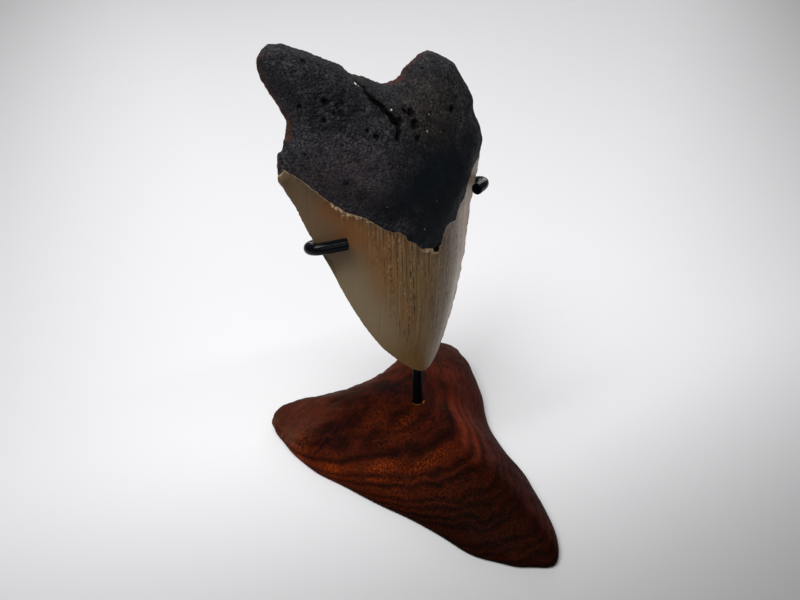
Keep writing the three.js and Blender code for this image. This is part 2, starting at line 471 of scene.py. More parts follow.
def dress(piece: bpy.types.Object, material: bpy.types.Material, slot: str, *nodes: str) -> None:
    """Finishes a piece, hangs it on the root body and hides the solids that it takes the place of.

    Args:
        piece: The piece.
        material: Its material.
        slot: Not used; the material slot that it stands for.
        *nodes: The solids that it takes the place of.
    """
    piece.data.materials.clear()
    piece.data.materials.append(material)
    piece.data.polygons.foreach_set("use_smooth", [True] * len(piece.data.polygons))
    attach(piece, "root")
    if nodes:
        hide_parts(*nodes)
    triangles = sum(len(face.vertices) - 2 for face in piece.data.polygons)
    LOG.info("%s: %d triangles, %s", piece.name, triangles, material.name)


# The tooth


class Side(Enum):
    """The two faces of the tooth."""

    FRONT = 1
    BACK = -1


@dataclass(frozen=True)
class FossilFinish:
    """Dark porous root, polished tan enamel and the chipped line between them."""

    char: Colour = tone(27, 28, 33)
    ash: Colour = tone(86, 83, 84)
    plum: Colour = tone(86, 74, 78)
    ink: Colour = tone(3, 14, 22)
    umber: Colour = tone(98, 80, 55)
    rust: Colour = tone(96, 52, 32)
    glint: Colour = tone(232, 230, 224)
    cream: Colour = tone(196, 166, 126)
    sand: Colour = tone(134, 117, 88)
    shade: Colour = tone(70, 52, 36)
    tan: Colour = tone(112, 86, 50)
    honey: Colour = tone(110, 82, 49)
    stain: Colour = tone(128, 74, 22)
    stone: Colour = tone(106, 85, 62)
    # Painted sheen on the crown's right flank; also a faint pale patch low on the wing.
    pale: Colour = tone(140, 126, 104)
    tip: Colour = tone(111, 81, 39)
    # Near-white: painted sheen along the crown's right edge, and the brightest chips on the border.
    bright_chip_and_sheen: Colour = tone(232, 208, 190)
    streak: Colour = tone(40, 26, 14)
    stains: tuple[tuple[Point2, Point2, float], ...] = (
        ((-27, 73), (8, 11), 0.75), ((-22, 65), (8, 7), 0.7), ((-12, 57), (12, 8), 0.45), ((-14.6, 45), (6, 11), 0.4),
        ((-8, 27), (4, 8), 0.3),
    )
    # Painted highlights: small bright glints on the front of the root, each with its middle, radius and strength.
    glints: tuple[tuple[Point2, float, float], ...] = (
        ((-14.6, 114.0), 0.6, 1.0), ((-13.7, 113.2), 0.5, 0.8), ((-5.3, 103.3), 0.45, 0.6), ((6.4, 93.6), 0.5, 0.4),
        ((1.0, 59.6), 0.4, 0.25), ((-13.1, 71.7), 0.4, 0.12), ((6.6, 68.7), 0.4, 0.12), ((9.2, 98.8), 0.4, 0.2),
    )

    def dot(self, shader: Shader, place: Value, centre: Point2, radius: float) -> Value:
        """A small spot on the tooth's face: 1 in it, 0 outside."""
        x, y, height = shader.parts(place)
        across, up = x - centre[0], y - centre[1]
        return ((across * across + up * up) ** 0.5).rise(radius, radius * 0.5) * height.rise(-0.5, 0.5)

    def patch(self, shader: Shader, place: Value, centre: Point2, reach: Point2, waver: Value) -> Value:
        """A soft blot on the tooth's face.

        Args:
            shader: The finish's nodes.
            place: Place on the tooth, in its own plane.
            centre: The blot's middle.
            reach: How far it goes each way.
            waver: Noise round 0.5 that makes its border uneven.

        Returns:
            1 in the blot, 0 outside it.
        """
        x, y, height = shader.parts(place)
        across = (x - centre[0]) / reach[0]
        up = (y - centre[1]) / reach[1]
        away = (across * across + up * up) ** 0.5 + (waver - 0.5) * 1.4
        return away.rise(1.3, 0.3) * height.rise(-0.5, 0.5)

    def root_colour(self, shader: Shader, place: Value, spot: Value) -> Value:
        """The root: charcoal with ashy, plum, brown and ink-black zones, rusty rims, pale specks, painted shade in its
        groove and pits, and painted glints.
        """
        broad = shader.noise(spot, 26, 2.0, 0.6)
        middle = shader.noise(spot, 7, 4.0, 0.65)
        fine = shader.noise(spot, 0.9, 3.0, 0.7)
        grain = shader.noise(spot, 0.5, 2.0, 0.7)
        beds = shader.noise(shader.stretched(place, (0.3, 1.2, 0.3)), 1.5, 3.0, 0.6, 0.6)
        plum = self.patch(shader, place, (-25, 84), (20, 15), middle)
        ink = self.patch(shader, place, (10, 72), (26, 23), middle)
        umber = self.patch(shader, place, (10, 100), (15, 14), middle)
        creased = self.patch(shader, place, (-26, 107), (12, 8), middle)
        raised = fine.rise(0.4, 0.7) * (0.35 + middle.rise(0.35, 0.65) * 0.65) + grain.rise(0.54, 0.72) * 0.2
        colour = shader.blend(self.char, self.ash, raised * (1.0 - ink * 0.85) * (0.85 - umber * 0.35))
        colour = shader.blend(colour, self.plum, plum * (0.25 + raised * 0.6))
        fuzz = self.patch(shader, place, (-9, 62.5), (6, 4), middle)
        colour = shader.blend(colour, self.ink, ink * 0.9)
        colour = shader.blend(colour, self.plum, fuzz * raised * 0.7)
        colour = shader.blend(colour, self.umber, umber * (0.04 + raised * 0.32))
        dim = shader.noise(spot, 4.5, 2.0, 0.6)
        colour = shader.blend(colour, (0.004, 0.004, 0.005), dim.rise(0.5, 0.66) * 0.45)
        colour = shader.blend(colour, self.ink, broad.rise(0.5, 0.75) * 0.3)
        colour = shader.blend(colour, (0.001, 0.001, 0.001), fine.rise(0.44, 0.32) * 0.6 * (1.0 - ink * 0.5))
        bedded = beds.rise(0.52, 0.62) * (creased * 0.75 + 0.15) * (1.0 - ink)
        colour = shader.blend(colour, (0.001, 0.001, 0.002), bedded)
        colour = shader.blend(colour, (0.004, 0.004, 0.005), creased * 0.2)
        rim = shader.attribute("rim")
        colour = shader.blend(colour, self.rust, rim.rise(1.0, 0.1) * middle.rise(0.25, 0.5) * 0.5)
        # Painted shade: the groove, the hollows and the pits are filled with near-black.
        pit = shader.attribute("pit")
        colour = shader.blend(colour, (0.001, 0.001, 0.001), pit.rise(0.06, 0.36) * 0.98)
        speck = shader.cells(spot, 1.4).rise(0.2, 0.12) * shader.noise(spot, 4, 1.0).rise(0.52, 0.6)
        colour = shader.blend(colour, self.sand, speck * (0.06 + umber * 0.42))
        # Painted highlights: the glints are bright dots painted onto the root's colour.
        for centre, radius, share in self.glints:
            colour = shader.blend(colour, self.glint, self.dot(shader, place, centre, radius) * share)
        return colour

    def enamel_colour(self, shader: Shader, place: Value, fan: Value, spot: Value) -> Value:
        """The crown: tan with a greyer wing, a flank lightened by painted sheen up to a near-white edge, warm stains,
        and streaks that run to the point.
        """
        _, up, across = shader.parts(fan)
        broad = shader.noise(spot, 16, 3.0, 0.6)
        lines = shader.noise(shader.stretched(fan, (1.0, 0.03, 0.0)), 1.0, 3.0, 0.6)
        hairs = shader.noise(shader.stretched(fan, (1.0, 0.05, 0.0)), 0.4, 2.0, 0.6)
        wing = across.rise(16, 6)
        colour = shader.blend(self.tan, self.honey, broad.rise(0.4, 0.66) * up.rise(22, 52))
        colour = shader.blend(colour, self.stone, wing * 0.9)
        colour = shader.blend(colour, self.sand, across.rise(24, 3) * up.rise(60, 44) * up.rise(2, 12) * 0.8)
        # Painted sheen: the right flank lightens towards its edge.
        colour = shader.blend(colour, self.pale, across.rise(43, 58) * (0.72 + up.rise(50, 30) * 0.2) * up.rise(2, 16))
        # Painted sheen: a near-white line along the crown's right edge.
        colour = shader.blend(colour, self.bright_chip_and_sheen, across.rise(52, 60) * up.rise(5, 20) * 0.62)
        colour = shader.blend(colour, self.tip, up.rise(30, 8) * 0.85 * across.rise(65, 56))
        for centre, reach, share in self.stains:
            colour = shader.blend(colour, self.stain, self.patch(shader, place, centre, reach, broad) * share)
        colour = shader.blend(colour, self.pale, self.patch(shader, place, (-26, 44), (5, 13), broad) * 0.1)
        middle = across.rise(10, 24) * across.rise(66, 54) * (up.rise(2, 26) * 0.75 + 0.25)
        colour = shader.blend(colour, self.streak, lines.rise(0.5, 0.66) * middle * 0.6)
        colour = shader.blend(colour, self.cream, lines.rise(0.46, 0.28) * middle * 0.3)
        dash = shader.cells(shader.stretched(fan, (1.0, 0.17, 0.0)), 0.95)
        where = shader.noise(shader.stretched(fan, (1.0, 0.3, 0.0)), 4, 2.0)
        colour = shader.blend(colour, self.streak, dash.rise(0.36, 0.2) * where.rise(0.46, 0.56) * middle * 0.9)
        speck = shader.cells(shader.stretched(shader.moved(fan, (40, 40, 0)), (1.0, 0.45, 0.0)), 0.8)
        lit = speck.rise(0.34, 0.2) * where.rise(0.5, 0.38) * middle * hairs.rise(0.45, 0.55)
        colour = shader.blend(colour, self.cream, lit * 0.5)
        seam = abs(shader.noise(shader.stretched(fan, (1.0, 0.02, 0.0)), 3.2, 1.0) - 0.5).rise(0.04, 0.012)
        beads = shader.noise(shader.stretched(fan, (1.0, 0.4, 0.0)), 0.6, 2.0, 0.6)
        colour = shader.blend(colour, self.streak, seam * beads.rise(0.47, 0.58) * middle * 0.7)
        colour = shader.blend(colour, self.cream, seam * beads.rise(0.42, 0.34) * middle * 0.3)
        return shader.blend(colour, self.streak, hairs.rise(0.54, 0.7) * (0.05 + middle * 0.45))

    def material(self) -> bpy.types.Material:
        """Makes the material."""
        shader = Shader("fossil")
        spot = shader.position()
        place = shader.attribute("place", "Vector")
        fan = shader.attribute("fan", "Vector")
        fine = shader.noise(spot, 0.7, 2.0, 0.6)
        border = shader.attribute("border") + (fine - 0.5) * 0.5
        root_share = border.rise(-0.08, 0.12)
        ragged = shader.noise(spot, 1.4, 3.0, 0.6)
        side = shader.parts(place)[0]
        left = side.rise(-8, -20)
        notch = self.patch(shader, place, (4, 50.2), (6, 3), fine)
        rough = side.rise(-32, -28) * side.rise(-15, -21)
        teeth = shader.noise(shader.stretched(fan, (1.0, 0.4, 0.0)), 1.2, 3.0, 0.75)
        wide = 0.3 + rough * (teeth.rise(0.4, 0.72) * 1.5) + notch * ragged.rise(0.36, 0.6) * 1.2
        chipped = (border / wide).rise(-1.25, -0.8) * ragged.rise(0.34, 0.5)
        chipped = chipped * (left * 0.5 + rough * 0.4 + notch * 0.6 + 0.12)
        drips = shader.noise(shader.stretched(fan, (1.0, 0.1, 0.0)), 1.1, 2.0).rise(0.56, 0.66)
        drips = drips * border.rise(-7, -1) * (left * 0.7 + 0.2) * side.rise(-31, -25)
        colour = self.enamel_colour(shader, place, fan, spot)
        wing = border.rise(-16, -1) * left
        colour = shader.blend(colour, self.shade, wing * 0.3)
        smudge = border.rise(-4.0, -0.5) * ragged.rise(0.38, 0.6)
        colour = shader.blend(colour, self.streak, smudge * (0.5 - left * 0.25))
        colour = shader.blend(colour, self.cream, drips * 0.45)
        runs = shader.noise(shader.stretched(fan, (1.0, 0.07, 0.0)), 0.6, 2.0).rise(0.5, 0.62)
        below = border.rise(-14, -1) * side.rise(-26, -16) * side.rise(6, -4)
        colour = shader.blend(colour, self.cream, runs * below * 0.2)
        colour = shader.blend(colour, self.cream, chipped * 0.9)
        colour = shader.blend(colour, self.bright_chip_and_sheen, chipped * rough * teeth.rise(0.5, 0.6) * 0.4)
        fibre = shader.noise(shader.stretched(fan, (1.0, 0.05, 0.0)), 0.7, 3.0, 0.6)
        cracks = shader.noise(shader.stretched(fan, (1.0, 0.05, 0.0)), 2.6, 1.0).rise(0.64, 0.7)
        enamel = shader.surface(
            Base_Color=colour,
            Roughness=0.26 + fibre * 0.22 + chipped * 0.3,
            Specular_IOR_Level=0.4,
            Normal=shader.bump(fibre * 0.25 - cracks * 0.2 - chipped * 0.6, 0.3),
        )
        grit = shader.noise(spot, 0.5, 3.0, 0.7)
        pores = shader.cells(spot, 1.1).rise(0.15, 0.5)
        lumps = shader.noise(spot, 2.4, 4.0, 0.7)
        root = shader.surface(
            Base_Color=self.root_colour(shader, place, spot),
            Roughness=0.55 + lumps * 0.3,
            Specular_IOR_Level=0.1,
            Normal=shader.bump(grit * 0.5 + pores * 0.4 + lumps * 0.4, 0.6),
        )
        return shader.finish(shader.node("ShaderNodeMixShader", {0: root_share, 1: enamel, 2: root}))


@dataclass
class FossilTooth:
    """The fossil: a thick two-lobed root over a flat, pointed crown.

    Places on it are in millimetres in its own plane: x to the right, y up from its point.
    """

    point: tuple[float, float, float] = (-1.6, -6.8, 41.2)
    lean: float = math.radians(16)
    mid_crown: float = 45.0
    levels: int = 3
    seed: int = 7
    border: tuple[Point2, ...] = (
        (-48, 86), (-44.6, 88.4), (-42.2, 91), (-39.5, 88.4), (-35.8, 84), (-32.3, 79.8), (-27.7, 74.8), (-25.6, 72.4),
        (-23.2, 70.5), (-19, 68.6), (-17, 66.6), (-13, 62.9), (-10.8, 61.4), (-8.5, 61), (-6.3, 58.8), (-5.2, 56.6),
        (-2.8, 55), (-1.2, 52.9), (-0.2, 52.1), (4.7, 51.0), (5.0, 49.2), (7.9, 48.5), (8.6, 50.3), (9.6, 51),
        (10.5, 53.4), (12.2, 56.3), (15.3, 57.6), (19.3, 56.9), (19.9, 59.2), (22, 61.5), (25.6, 62.6), (27.8, 66),
        (29.5, 68.1), (31.7, 71.3), (34.2, 74.6), (37.5, 75.8), (39.5, 78.5), (44, 81),
    )
    back_border: tuple[Point2, ...] = (
        (-48, 93), (-38, 88.5), (-28, 83.5), (-16, 80), (-3, 78), (3, 77.2), (12, 78), (24, 80), (34, 82), (44, 85),
    )
    groove: tuple[Point2, ...] = (
        (-12.5, 113.5), (-12.1, 111.4), (-10.7, 108.4), (-8.0, 105.4), (-6.8, 102.0), (-4.7, 98.2), (-4.9, 95.5),
        (-5.5, 93.6),
    )
    hollows: tuple[tuple[float, float, float, float], ...] = (
        (-31.9, 124.6, 0.9, 0.8), (-28, 110.8, 1.3, 1.1), (-35.6, 110.7, 0.8, 0.7), (-29.5, 104.9, 1.0, 0.9),
        (-16.1, 98.8, 0.9, 0.8), (-13.6, 96.2, 1.2, 1.0), (-0.1, 102, 1.2, 1.1), (2.1, 101, 1.7, 1.4),
        (2, 97.1, 1.8, 1.3), (1.5, 92.4, 1.3, 0.9), (20.4, 98.2, 1.2, 1.1), (-3.4, 99.4, 1.4, 0.9),
        (-24.5, 108, 0.8, 0.6), (-26, 106.6, 0.9, 0.6), (6.6, 49.8, 1.7, 1.1),
    )
    knobs: tuple[tuple[float, float, float, float], ...] = (
        (-43, 95.4, 2.6, 0.7), (-39.2, 102.2, 1.6, -0.7), (-42, 97, 1.8, 1.7), (34.5, 104, 1.6, 0.5),
        (-13.5, 115.4, 1.2, -0.8), (21, 121, 3, 0.5), (-33, 125, 3, 0.4), (-47, 112, 2, 0.4),
    )
    dents: tuple[tuple[float, float, float, float], ...] = (
        (33.5, 93.2, 3.4, -1.3), (31.4, 99.4, 3.2, 0.9), (37.5, 82, 2.6, 0.7), (34.5, 85.4, 1.3, -0.4),
        (27.6, 111.8, 3, 0.8), (38, 74, 6, 0.45), (-12.2, 116.8, 3.4, -1.1), (-22, 124, 2.5, -0.3),
        (12.5, 113.6, 4, 0.7), (5, 110.4, 2.6, 0.6), (-44, 124, 3, 0.3), (-38.2, 106.4, 2.4, -0.9),
        (-44, 87.6, 2.4, 1.3), (-43.2, 83.8, 3, 0.4), (-32, 53.5, 5, -0.6),
    )

    def own_frame(self, places: np.ndarray) -> np.ndarray:
        """Turns places in the object's frame into x, y and height over the plane of the edges."""
        away = places - np.array(self.point)
        up = away[:, 1] * math.sin(self.lean) + away[:, 2] * math.cos(self.lean)
        back = away[:, 1] * math.cos(self.lean) - away[:, 2] * math.sin(self.lean)
        return np.stack([away[:, 0], up, -back], axis=1)

    def outline(self, piece: bpy.types.Object) -> np.ndarray:
        """The stretches of the tooth's outline, where front and back meet, and a crease along the crown's."""
        own = self.own_frame(places_of(piece)[0])
        edges = np.array([edge.vertices[:] for edge in piece.data.edges])
        on_outline = np.abs(own[:, 2]) < 0.02
        rim = on_outline[edges].all(axis=1)
        sharp = step(92, 78, own[edges][:, :, 1].max(axis=1))
        creases = piece.data.attributes.new("crease_edge", "FLOAT", "EDGE")
        creases.data.foreach_set("value", np.where(rim, 0.25 + 0.75 * sharp, 0).astype(np.float32))
        return own[edges[rim]][:, :, :2]

    def border_height(self, own: np.ndarray, grain: Grain) -> np.ndarray:
        """How far each place lies over the line between enamel and root, under zero on the enamel."""
        flat = own[:, :2]
        result = np.empty(len(own))
        for side, line in ((Side.FRONT, self.border), (Side.BACK, self.back_border)):
            mine = (own[:, 2] >= 0) if side is Side.FRONT else (own[:, 2] < 0)
            away = away_from(flat[mine], stretches(line))
            result[mine] = np.where(is_over(flat[mine], line), away, -away)
        waver = 0.3 * grain.smooth(own, 4.0) + 0.22 * grain.smooth(own + 50, 1.7)
        waver *= 1 - 0.8 * np.exp(-(np.linalg.norm(flat - (6.5, 50), axis=1) / 2.5) ** 2)
        return np.clip(result + waver, -12, 12)

    def fan_of(self, own: np.ndarray, outline: np.ndarray) -> np.ndarray:
        """Place on the crown for its streaks.

        Args:
            own: Places on the tooth.
            outline: The stretches of its outline.

        Returns:
            The streak's number in millimetres, the height over the point, and the share across, 0 to 64.
        """
        corners = outline.reshape(-1, 2)
        sides = []
        for sign in (-1, 1):
            edge = corners[(corners[:, 0] * sign > -0.5) & (corners[:, 1] < 89)]
            edge = edge[np.argsort(edge[:, 1])]
            sides.append(np.interp(own[:, 1], edge[:, 1], edge[:, 0]))
        share = (own[:, 0] - sides[0]) / np.maximum(sides[1] - sides[0], 3.0)
        over = own[:, 1] - self.mid_crown
        slant = 0.06 + 0.12 * step(-2, 5, own[:, 0] - 0.12 * over)
        return np.stack([own[:, 0] - slant * over, own[:, 1], 64 * share], axis=1)

    def sculpt(self, piece: bpy.types.Object, outline: np.ndarray) -> None:
        """Carves the groove, pits, chipped border, ragged rims and worn serrations, and stores what the finish reads."""
        grain = Grain(self.seed)
        places, normals = places_of(piece)
        own = self.own_frame(places)
        flat = own[:, :2]
        rim = away_from(flat, outline)
        border = self.border_height(own, grain)
        root = step(-0.15, 0.45, border)
        front = step(-0.5, 0.5, own[:, 2])
        calm = 1 - 0.65 * step(1.2, 0.6, np.linalg.norm((flat - (8, 70)) / (22, 22), axis=1)) * front
        lumps = 0.28 * grain.layers(own, 13, 2) + 0.16 * grain.layers(own + 9, 4.2, 3)
        pits = grain.pits(own, 3.3, (0.45, 1.3), 0.5) * step(-0.1, 0.5, grain.smooth(own, 11) + 0.3)
        small = grain.pits(own + 77, 1.8, (0.35, 0.75), 0.5)
        jag = np.stack([grain.smooth(own + 40, 2.6), grain.smooth(own + 60, 2.6)], axis=1)
        away = away_from(flat + 0.9 * jag, stretches(self.groove))
        width = np.maximum(0.72 + 0.3 * grain.smooth(own, 2.2) + 0.3 * grain.smooth(own, 1.1), 0.42)
        groove = np.exp(-((away / width) ** 2)) * front
        filled = np.exp(-((away / (width * 1.25)) ** 2)) * front
        hollow = np.zeros(len(own))
        for x, y, radius, depth in self.hollows:
            reach = np.linalg.norm(flat - (x, y), axis=1) / radius * (1.15 + 0.4 * grain.smooth(own, 1.5))
            hollow = np.maximum(hollow, depth * np.exp(-(reach**2) * 1.4) * front)
        rough = calm * (lumps - 0.5 * pits - 0.25 * small)
        carved = root * (0.4 + rough) - root * (2.3 * groove + 1.2 * hollow)
        ragged = (0.35 * grain.smooth(own, 3.1) + 0.25 * grain.smooth(own, 1.4)) * step(3.5, 0.2, rim)
        for x, y, radius, push in self.knobs:
            ragged += push * np.exp(-(np.linalg.norm(flat - (x, y), axis=1) / radius) ** 2) * step(2.6, 0.2, rim)
        ragged *= root
        for x, y, radius, push in self.dents:
            ragged += push * np.exp(-(np.linalg.norm(flat - (x, y), axis=1) / radius) ** 2)
        crown = 1 - root
        chips = step(0.3, 0.7, grain.smooth(own + 5, 5.5)) * np.abs(grain.smooth(own, 1.5))
        right = step(-5, 5, own[:, 0])
        serrated = 0.15 * grain.smooth(own * (0.6, 1, 0.6), 0.95) - 0.7 * chips
        serrated += right * 0.35 * grain.smooth(own * (0.3, 1, 0.3), 2.6)
        worn = crown * np.exp(-((rim / 0.6) ** 2)) * serrated * step(4, 14, own[:, 1])
        swell = crown * 0.14 * grain.smooth(own, 17) * step(0, 6, rim)
        scar = -0.35 * crown * step(-1.4, -0.1, border) * step(0.1, 0.6, grain.smooth(own + 3, 2.6))
        moved = carved + ragged + worn + swell + scar
        places = places + normals * moved[:, None]
        trim = right * np.exp(-((rim / 5) ** 2)) * step(2, 14, own[:, 1]) * step(62, 54, own[:, 1])
        trim *= 0.85 - 0.5 * step(33, 44, own[:, 1])
        along = own * (0, 1, 0)
        notched = 0.3 * step(0.02, 0.3, grain.smooth(along + 20, 6.3)) + 0.2 * grain.smooth(along + 11, 2.3) - 0.05
        places[:, 0] -= trim + crown * right * np.exp(-((rim / 1.4) ** 2)) * step(8, 20, own[:, 1]) * notched
        set_places(piece, places)
        keep(piece, "border", border)
        keep(piece, "rim", np.clip(rim, 0, 12))
        # Depth of the groove, hollows and pits, which the finish fills with painted shade.
        keep(piece, "pit", np.clip(root * (0.8 * filled + hollow * 0.9 + 0.4 * pits + 0.25 * small), 0, 1))
        keep(piece, "place", own)
        keep(piece, "fan", self.fan_of(own, outline))

    def build(self) -> None:
        """Makes the tooth from its solid, finer and carved."""
        piece = copy_of("tooth", "fossil_tooth")
        outline = self.outline(piece)
        refine(piece, self.levels)
        self.sculpt(piece, outline)
        dress(piece, FossilFinish().material(), "fossil", "tooth")


# The base


@dataclass(frozen=True)
class HardwoodFinish:
    """Dark red-brown hardwood, oiled, with dark growth bands, orange flecks that are partly painted glints, and
    painted sheen and shade.
    """

    heart: Colour = tone(86, 31, 13)
    red: Colour = tone(114, 40, 20)
    dark: Colour = tone(22, 7, 5)
    flank: Colour = tone(66, 22, 15)
    orange: Colour = tone(158, 62, 4)
    # Lighter red-brown: painted highlight along the right crest, also laid on the right rear.
    ember: Colour = tone(150, 62, 36)
    fresh: Colour = tone(170, 104, 62)
    # Painted sheen on the right flank.
    dusk: Colour = tone(104, 54, 48)
    slope: tuple[float, float, float] = (-0.174, 0.158, 0.972)
    span: tuple[float, float] = (-12.0, 24.0)
    bands: tuple[tuple[float, float], ...] = (
        (-12, 0.5), (-10, 0.2), (-9, 0.6), (-7.4, 0.1), (-6.2, 0.7), (-4.8, 0.2), (-3.6, 0.65), (-2.4, 0.05),
        (-1.2, 0.6), (0.2, 0.6), (1.2, 0.1), (2.0, 0.6), (2.8, 0.0), (3.7, 0.7), (4.7, 0.2), (5.4, 0.75), (6.4, 0.25),
        (7.2, 0.75), (8.4, 0.8), (9.4, 0.15), (10.3, 0.9), (11.4, 0.3), (12.4, 1.0), (14.0, 0.8), (15.0, 0.1),
        (16.0, 0.7), (17.4, 0.8), (18.4, 0.35), (19.6, 0.6), (21.0, 0.4), (23.0, 0.6),
    )
    plum: Colour = tone(19, 9, 13)
    # Lighter russet: painted sheen on the left lobe, and lighter streaks behind the post.
    russet: Colour = tone(112, 58, 46)
    # Lighter rear slopes: partly wear, partly painted sheen.
    worn: Colour = tone(132, 92, 70)
    smears: tuple[tuple[Point2, Point2, float], ...] = (
        ((-5, 17), (12, 8), 0.8), ((-18, 21), (11, 8), 0.9), ((-5, 8), (6, 4), 0.8), ((-36, 10), (9, 9), 0.9),
        ((24, 26), (7, 8), 0.5), ((3, -12), (9, 8), 0.7), ((-33, 11), (7, 6), 0.8),
        ((-24, -8), (6, 4), 0.5), ((-12, -14.5), (9, 3.5), 0.7), ((0, -18), (8, 4), 0.6), ((-3, 15), (7, 5), 0.6),
    )

    flecks: tuple[tuple[Point2, Point2], ...] = (
        ((-19, 4), (6, 5)), ((-11, -6), (7, 4)), ((-40, 0), (7, 7)), ((-28, -16), (9, 7)), ((-16, -26), (12, 5)),
        ((-30, -30), (8, 9)), ((-20, -42), (9, 6)), ((-8, -70), (9, 8)),
    )

    def round(self, x: Value, y: Value, centre: Point2, reach: Point2, waver: Value) -> Value:
        """A soft blot, seen from above.

        Args:
            x: Place to the right.
            y: Place to the back.
            centre: The blot's middle.
            reach: How far it goes each way.
            waver: Noise round 0.5 that makes its border uneven.

        Returns:
            1 in the blot, 0 outside it.
        """
        across, along = (x - centre[0]) / reach[0], (y - centre[1]) / reach[1]
        return ((across * across + along * along) ** 0.5 + (waver - 0.5) * 1.6).rise(1.25, 0.35)

    def material(self) -> bpy.types.Material:
        """Makes the material."""
        shader = Shader("hardwood")
        spot = shader.position()
        x, y, z = shader.parts(spot)
        warp = shader.noise(spot, 30, 2.0, 0.5)
        wander = shader.noise(spot, 7, 3.0, 0.55)
        layer = x * self.slope[0] + y * self.slope[1] + z * self.slope[2]
        bent = layer + (warp - 0.5) * 2.6 + (wander - 0.5) * (1.6 + y.rise(-20, -55) * 2.4)
        low, high = self.span
        stops = [((height - low) / (high - low), (share, share, share)) for height, share in self.bands]
        line = shader.node("ShaderNodeValToRGB", {"Fac": (bent - low) / (high - low)}, stops=stops)
        flow = shader.node("ShaderNodeCombineXYZ", {0: x * 0.06, 1: y * 0.06, 2: bent})
        grain = shader.noise(flow, 0.8, 4.0, 0.65)
        fibre = shader.noise(shader.stretched(spot, (1.0, 0.2, 1.0)), 0.9, 2.0, 0.6)
        blotch = shader.noise(spot, 13, 3.0, 0.6)
        faint = shader.noise(spot, 18, 2.0, 0.6).rise(0.46, 0.62) * 0.4
        rear = (x + y * 0.3).rise(4, 16) * y.rise(-20, 0) * 0.7
        rear = rear.math("MAXIMUM", rear, faint)
        line = line * (1.0 - rear) + rear * 0.62
        colour = shader.blend(self.dark, self.heart, line * 0.85 + grain.rise(0.35, 0.65) * 0.2)
        right = (x + y * 0.25).rise(-16, 0)
        colour = shader.blend(colour, self.red, right * line * blotch.rise(0.3, 0.55) * y.rise(-50, -10))
        colour = shader.blend(colour, self.flank, (x + y * 0.1).rise(8, 26) * 0.7)
        mottled = layer.rise(15.5, 18) * blotch.rise(0.48, 0.56)
        colour = shader.blend(colour, self.dark, mottled * 0.5 + blotch.rise(0.5, 0.7) * 0.4)
        smear = shader.noise(shader.stretched(spot, (0.3, 1.0, 0.6)), 2.6, 3.0, 0.6, 1.4)
        for centre, reach, share in self.smears:
            there = self.round(x, y, centre, reach, blotch)
            colour = shader.blend(colour, self.plum, there * (0.25 + smear.rise(0.48, 0.53) * 0.75) * share)
        # Painted sheen: pinkish russet patches on the left lobe.
        lobe = self.round(x, y, (-38, 30), (18, 14), wander)
        pink_sheen = smear.rise(0.52, 0.44) * 0.5 + blotch.rise(0.42, 0.6) * 0.3
        colour = shader.blend(colour, self.russet, lobe * pink_sheen)
        behind = self.round(x, y, (-8, 27), (22, 8), wander)
        colour = shader.blend(colour, self.russet, behind * smear.rise(0.5, 0.4) * 0.4)
        # Painted shade: the front left of the base is darkened.
        colour = shader.blend(colour, (0.002, 0.001, 0.001), y.rise(8, -14) * (x + y * 0.3).rise(14, 2) * 0.36)
        crest = (y * 0.37 + 16.2).math("MAXIMUM", y * 0.37 + 16.2, 1.5)
        beside = (x - crest).rise(0.5, 6) * y.rise(20, 0)
        # Painted shade: the base darkens towards its front tip.
        colour = shader.blend(colour, (0.002, 0.001, 0.0005), y.rise(-8, -50) * (0.8 - line * 0.25))
        # Painted sheen: a lighter pinkish brown on the right flank, beside the crest.
        colour = shader.blend(colour, self.dusk, beside * (0.25 + wander.rise(0.3, 0.7) * 0.3) * (0.5 + line * 0.5))
        # Orange flecks, partly the wood's own colour and partly painted glints, kept off the right side and weaker
        # towards the front.
        lively = y.rise(-60, -10) * 0.75 + 0.25
        zone = layer.rise(8, 10) * layer.rise(15.5, 13.5) + layer.rise(16, 17) * (x - y).rise(-26, -16)
        zone = zone + layer.rise(1, 3) * layer.rise(9, 7) * 0.5
        patchy = shader.noise(spot, 10, 3.0, 0.6).rise(0.42, 0.58) * 0.4
        for centre, reach in self.flecks:
            patchy = patchy.math("MAXIMUM", patchy, self.round(x, y, centre, reach, wander))
        glow = (zone * 0.8 + 0.2) * patchy * (1.0 - right) * line * lively
        turned = {0: x * 0.82 - y * 0.57, 1: x * 0.28 + y * 0.41, 2: z}
        fleck = shader.noise(shader.node("ShaderNodeCombineXYZ", turned), 0.5, 2.0, 0.5, 0.6)
        dull = self.round(x, y, (4, -10), (12, 10), wander)
        lively = (glow * 0.46 + 0.04) * (1.0 - dull) * (1.0 - beside * 0.8)
        colour = shader.blend(colour, self.orange, lively * fleck.rise(0.42, 0.64))
        pores = fleck.rise(0.46, 0.34)
        colour = shader.blend(colour, self.dark, pores * 0.3 + fibre.rise(0.56, 0.76) * 0.25)
        threads = shader.noise(flow, 0.3, 3.0, 0.6).rise(0.5, 0.6)
        colour = shader.blend(colour, self.dark, threads * right * y.rise(34, 20) * 0.45)
        # Painted highlight: a lighter red-brown band along the right crest of the base.
        along, across = x * 0.35 + y * 0.94 + 14.0, x * 0.94 - y * 0.35 - 16.0
        ridge_sheen = self.round(along, across, (0, 0), (25, 5), wander) * (0.2 + line * 0.8)
        colour = shader.blend(colour, self.ember, ridge_sheen * 0.34)
        rear_right = self.round(x, y, (24, 13), (8, 11), wander) * threads.rise(1.0, 0.2)
        colour = shader.blend(colour, self.ember, rear_right * 0.4)
        for centre, reach in self.flecks[:2]:
            near = self.round(x, y, centre, reach, wander) * fleck.rise(0.44, 0.6) * line
            colour = shader.blend(colour, self.orange, near * 0.3)
        low = self.round(x, y, (-46, 19), (7, 7), wander)
        colour = shader.blend(colour, self.orange, low * fleck.rise(0.46, 0.6) * 0.4)
